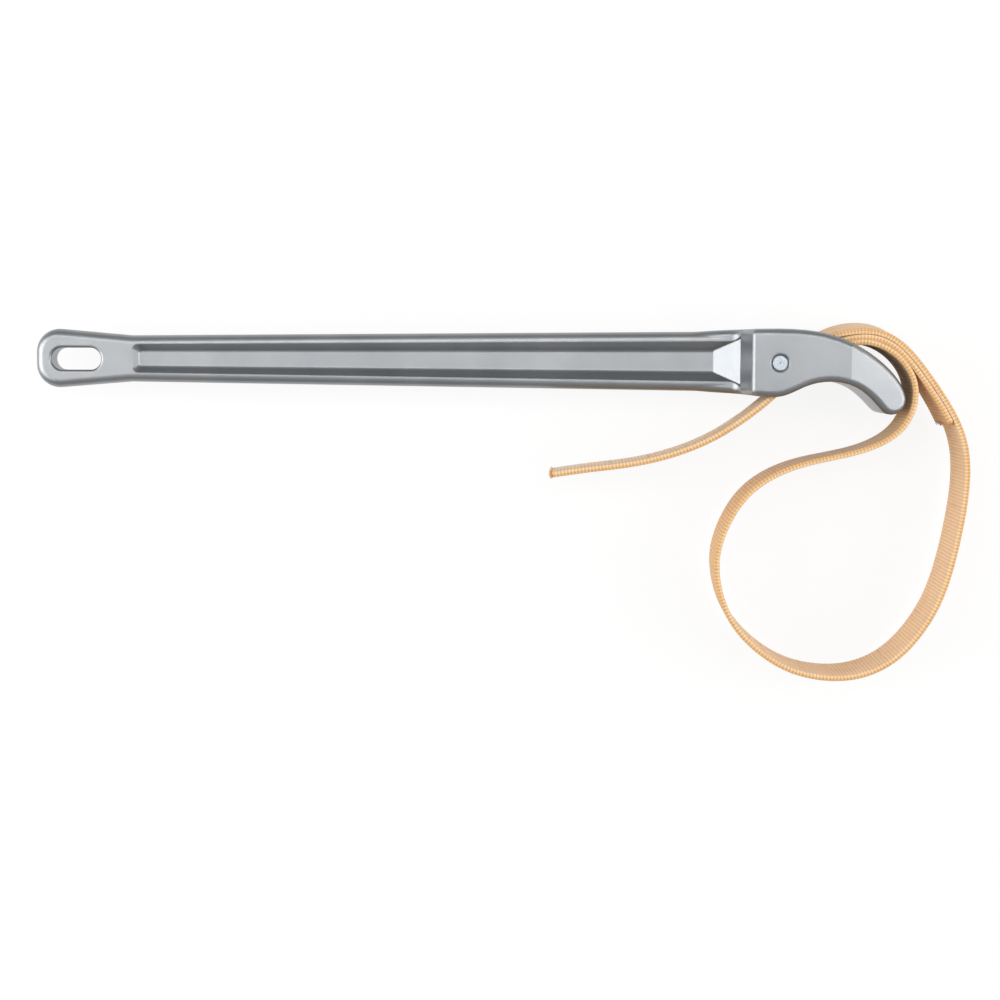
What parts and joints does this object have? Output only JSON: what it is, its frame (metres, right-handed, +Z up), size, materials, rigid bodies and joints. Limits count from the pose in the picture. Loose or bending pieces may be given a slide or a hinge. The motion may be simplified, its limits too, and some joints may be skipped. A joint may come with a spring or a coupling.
{
  "type": "strap wrench",
  "caption": "Cast I-beam handle with a two-cheek hooked head, a cross pin and a woven strap that loops round the work and feeds back through the head.",
  "frame": {"origin": "on the pin axis, in the plane of the lower cheek face", "axes": "+X from the handle's free end through the pin towards the nose, +Y away from the strap loop, +Z up along the pin axis, square to the wrench's side"},
  "size_m": [0.4908, 0.1852, 0.058],
  "materials": {
    "cast_aluminium": "satin, bead-blasted casting",
    "steel_pin": "bright zinc plate",
    "woven_strap": "tight woven webbing, orange-tan"
  },
  "bodies": {
    "handle": {"handle": "cast_aluminium", "pin": "steel_pin"},
    "strap_eye": {"strap_eye": "woven_strap"},
    "strap_loop_01": {"strap_loop_01": "woven_strap"},
    "strap_loop_02": {"strap_loop_02": "woven_strap"},
    "strap_loop_03": {"strap_loop_03": "woven_strap"},
    "strap_loop_04": {"strap_loop_04": "woven_strap"},
    "strap_loop_05": {"strap_loop_05": "woven_strap"},
    "strap_loop_06": {"strap_loop_06": "woven_strap", "strap_loop_07": "woven_strap"},
    "strap_loop_08": {"strap_loop_08": "woven_strap"},
    "strap_loop_09": {"strap_loop_09": "woven_strap"},
    "strap_loop_10": {"strap_loop_10": "woven_strap"},
    "strap_loop_11": {"strap_loop_11": "woven_strap"},
    "strap_loop_12": {"strap_loop_12": "woven_strap", "strap_loop_13": "woven_strap"},
    "strap_loop_14": {"strap_loop_14": "woven_strap", "strap_loop_15": "woven_strap", "strap_loop_16": "woven_strap", "strap_loop_17": "woven_strap"},
    "strap_loop_18": {"strap_loop_18": "woven_strap"},
    "strap_loop_19": {"strap_loop_19": "woven_strap"},
    "strap_loop_20": {"strap_loop_20": "woven_strap"},
    "strap_loop_21": {"strap_loop_21": "woven_strap"},
    "strap_loop_22": {"strap_loop_22": "woven_strap", "strap_slot": "woven_strap"},
    "strap_tail_01": {"strap_tail_01": "woven_strap"},
    "strap_tail_02": {"strap_tail_02": "woven_strap"},
    "strap_tail_03": {"strap_tail_03": "woven_strap"},
    "strap_tail_04": {"strap_tail_04": "woven_strap"},
    "strap_tail_05": {"strap_tail_05": "woven_strap"}
  },
  "joints": [
    {"name": "strap_swing", "type": "hinge", "parent": "handle", "child": "strap_eye", "pos_m": [0, 0, 0.029], "axis": [0, 0, 1], "range_deg": [0, 8]},
    {"name": "strap_feed", "type": "hinge", "parent": "strap_eye", "child": "strap_loop_01", "pos_m": [0.09193, -0.02984, 0.029], "axis": [0, 0, 1], "range_deg": [0, 38]},
    {"name": "bend_strap_loop_02", "type": "hinge", "parent": "strap_loop_01", "child": "strap_loop_02", "pos_m": [0.09766, -0.05953, 0.029], "axis": [0, 0, 1], "range_deg": [-0.3, 20.1]},
    {"name": "bend_strap_loop_03", "type": "hinge", "parent": "strap_loop_02", "child": "strap_loop_03", "pos_m": [0.09373, -0.0898, 0.029], "axis": [0, 0, 1], "range_deg": [-0.3, 7.3]},
    {"name": "bend_strap_loop_04", "type": "hinge", "parent": "strap_loop_03", "child": "strap_loop_04", "pos_m": [0.08592, -0.1193, 0.029], "axis": [0, 0, 1], "range_deg": [-22.4, 0.3]},
    {"name": "bend_strap_loop_05", "type": "hinge", "parent": "strap_loop_04", "child": "strap_loop_05", "pos_m": [0.07042, -0.14545, 0.029], "axis": [0, 0, 1], "range_deg": [-18.5, 0.3]},
    {"name": "bend_strap_loop_06", "type": "hinge", "parent": "strap_loop_05", "child": "strap_loop_06", "pos_m": [0.04525, -0.16197, 0.029], "axis": [0, 0, 1], "range_deg": [-3, 0.3]},
    {"name": "bend_strap_loop_08", "type": "hinge", "parent": "strap_loop_06", "child": "strap_loop_08", "pos_m": [-0.01151, -0.14727, 0.029], "axis": [0, 0, 1], "range_deg": [-0.3, 17.1]},
    {"name": "bend_strap_loop_09", "type": "hinge", "parent": "strap_loop_08", "child": "strap_loop_09", "pos_m": [-0.02809, -0.12209, 0.029], "axis": [0, 0, 1], "range_deg": [-0.3, 7.7]},
    {"name": "bend_strap_loop_10", "type": "hinge", "parent": "strap_loop_09", "child": "strap_loop_10", "pos_m": [-0.02857, -0.09203, 0.029], "axis": [0, 0, 1], "range_deg": [-0.3, 8]},
    {"name": "bend_strap_loop_11", "type": "hinge", "parent": "strap_loop_10", "child": "strap_loop_11", "pos_m": [-0.01285, -0.06622, 0.029], "axis": [0, 0, 1], "range_deg": [-17.7, 0.3]},
    {"name": "bend_strap_loop_12", "type": "hinge", "parent": "strap_loop_11", "child": "strap_loop_12", "pos_m": [0.01404, -0.0523, 0.029], "axis": [0, 0, 1], "range_deg": [-0.3, 2.6]},
    {"name": "bend_strap_loop_14", "type": "hinge", "parent": "strap_loop_12", "child": "strap_loop_14", "pos_m": [0.05559, -0.04013, 0.029], "axis": [0, 0, 1], "range_deg": [-0.3, 6.2]},
    {"name": "bend_strap_loop_18", "type": "hinge", "parent": "strap_loop_14", "child": "strap_loop_18", "pos_m": [0.06212, 0.00318, 0.029], "axis": [0, 0, 1], "range_deg": [-15.5, 0.3]},
    {"name": "bend_strap_loop_19", "type": "hinge", "parent": "strap_loop_18", "child": "strap_loop_19", "pos_m": [0.05124, 0.00993, 0.029], "axis": [0, 0, 1], "range_deg": [-7.1, 0.3]},
    {"name": "bend_strap_loop_20", "type": "hinge", "parent": "strap_loop_19", "child": "strap_loop_20", "pos_m": [0.03853, 0.01077, 0.029], "axis": [0, 0, 1], "range_deg": [-12.8, 0.3]},
    {"name": "bend_strap_loop_21", "type": "hinge", "parent": "strap_loop_20", "child": "strap_loop_21", "pos_m": [0.02653, 0.00615, 0.029], "axis": [0, 0, 1], "range_deg": [-11.8, 0.3]},
    {"name": "bend_strap_loop_22", "type": "hinge", "parent": "strap_loop_21", "child": "strap_loop_22", "pos_m": [0.01573, -0.00088, 0.029], "axis": [0, 0, 1], "range_deg": [-8.6, 0.3]},
    {"name": "tail_bend", "type": "hinge", "parent": "strap_loop_22", "child": "strap_tail_01", "pos_m": [-0.01959, -0.03059, 0.029], "axis": [0, 0, 1], "range_deg": [-5, 10]},
    {"name": "bend_strap_tail_02", "type": "hinge", "parent": "strap_tail_01", "child": "strap_tail_02", "pos_m": [-0.03715, -0.04097, 0.029], "axis": [0, 0, 1], "range_deg": [-5.5, 10.5]},
    {"name": "bend_strap_tail_03", "type": "hinge", "parent": "strap_tail_02", "child": "strap_tail_03", "pos_m": [-0.05619, -0.04831, 0.029], "axis": [0, 0, 1], "range_deg": [-5.5, 10.5]},
    {"name": "bend_strap_tail_04", "type": "hinge", "parent": "strap_tail_03", "child": "strap_tail_04", "pos_m": [-0.07606, -0.05291, 0.029], "axis": [0, 0, 1], "range_deg": [-5.5, 10.5]},
    {"name": "bend_strap_tail_05", "type": "hinge", "parent": "strap_tail_04", "child": "strap_tail_05", "pos_m": [-0.0963, -0.05564, 0.029], "axis": [0, 0, 1], "range_deg": [-5.5, 10.5]}
  ],
  "couplings": [
    {"joint": "bend_strap_loop_02", "follows": "strap_swing", "ratio": 2.3683},
    {"joint": "bend_strap_loop_03", "follows": "strap_feed", "ratio": 0.1755},
    {"joint": "bend_strap_loop_04", "follows": "strap_feed", "ratio": -0.55881},
    {"joint": "bend_strap_loop_05", "follows": "strap_swing", "ratio": -2.1828},
    {"joint": "bend_strap_loop_06", "follows": "strap_feed", "ratio": -0.068017},
    {"joint": "bend_strap_loop_08", "follows": "strap_swing", "ratio": 2.0156},
    {"joint": "bend_strap_loop_09", "follows": "strap_feed", "ratio": 0.18487},
    {"joint": "bend_strap_loop_10", "follows": "strap_feed", "ratio": 0.1941},
    {"joint": "bend_strap_loop_11", "follows": "strap_swing", "ratio": -2.0877},
    {"joint": "bend_strap_loop_12", "follows": "strap_feed", "ratio": 0.05729},
    {"joint": "bend_strap_loop_14", "follows": "strap_swing", "ratio": 0.70398},
    {"joint": "bend_strap_loop_18", "follows": "strap_swing", "ratio": -1.8174},
    {"joint": "bend_strap_loop_19", "follows": "strap_feed", "ratio": -0.17045},
    {"joint": "bend_strap_loop_20", "follows": "strap_feed", "ratio": -0.31541},
    {"joint": "bend_strap_loop_21", "follows": "strap_feed", "ratio": -0.28965},
    {"joint": "bend_strap_loop_22", "follows": "strap_feed", "ratio": -0.20941},
    {"joint": "bend_strap_tail_02", "follows": "tail_bend", "ratio": 1},
    {"joint": "bend_strap_tail_03", "follows": "tail_bend", "ratio": 1},
    {"joint": "bend_strap_tail_04", "follows": "tail_bend", "ratio": 1},
    {"joint": "bend_strap_tail_05", "follows": "tail_bend", "ratio": 1}
  ]
}
